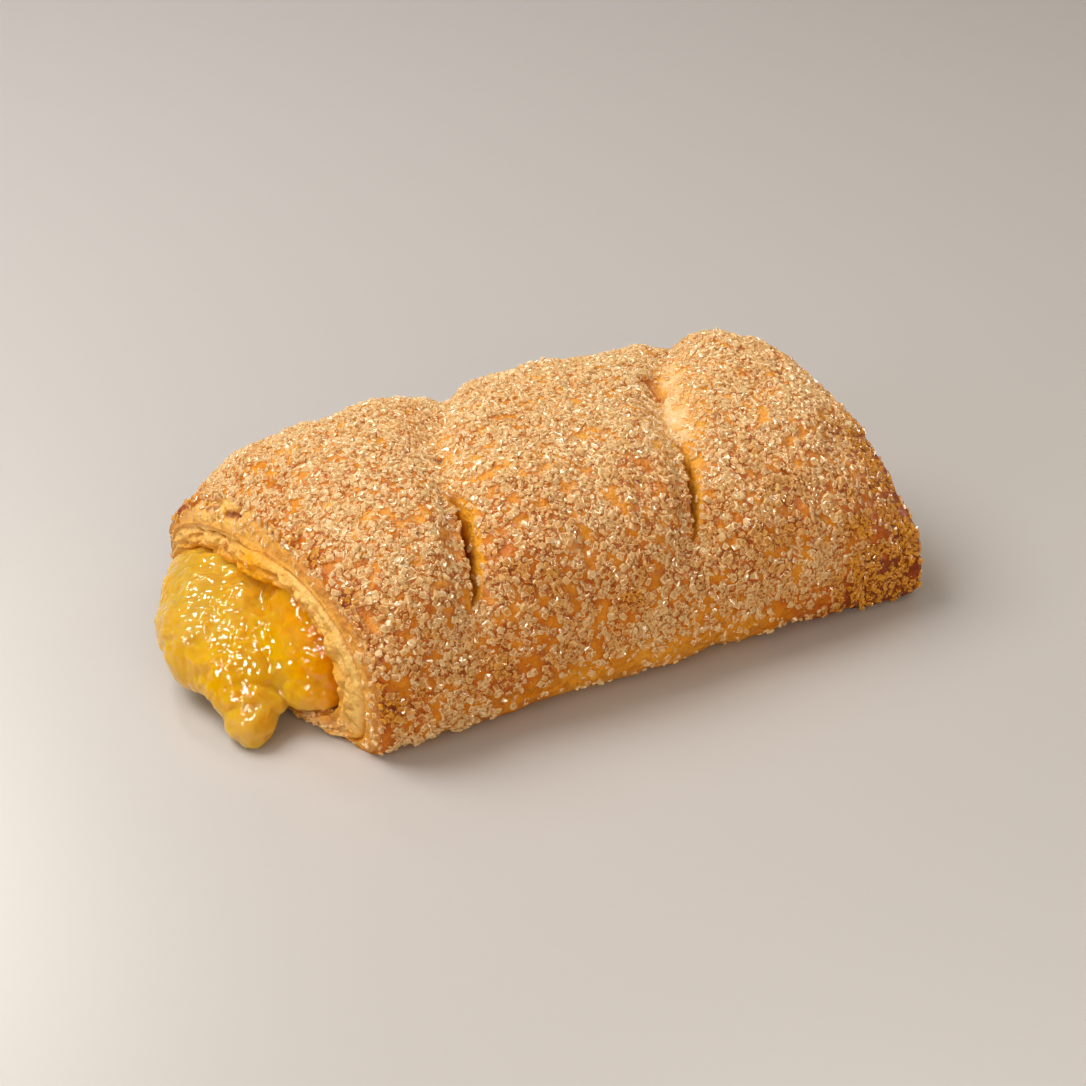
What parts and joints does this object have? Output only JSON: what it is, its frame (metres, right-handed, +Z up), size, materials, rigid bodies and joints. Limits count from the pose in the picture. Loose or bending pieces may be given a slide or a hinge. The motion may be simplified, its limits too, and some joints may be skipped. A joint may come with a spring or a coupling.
{
  "type": "pineapple turnover",
  "caption": "Baked roll of flaky pastry with two slits and coarse sugar on top, open at both ends, with pineapple jam running through it and spilling from one end.",
  "frame": {"origin": "centre of the underside of the overall box, on the surface that the pastry rests on", "axes": "+X along the roll from the end where the jam spills to the far end, +Y to the side away from the slits, +Z up"},
  "size_m": [0.1522, 0.0856, 0.0446],
  "materials": {
    "crust": "golden baked pastry strewn with coarse sugar",
    "jam": "wet, glossy, slightly translucent yellow pineapple jam"
  },
  "bodies": {
    "root": {"pastry": "crust", "filling": "jam"}
  },
  "joints": []
}
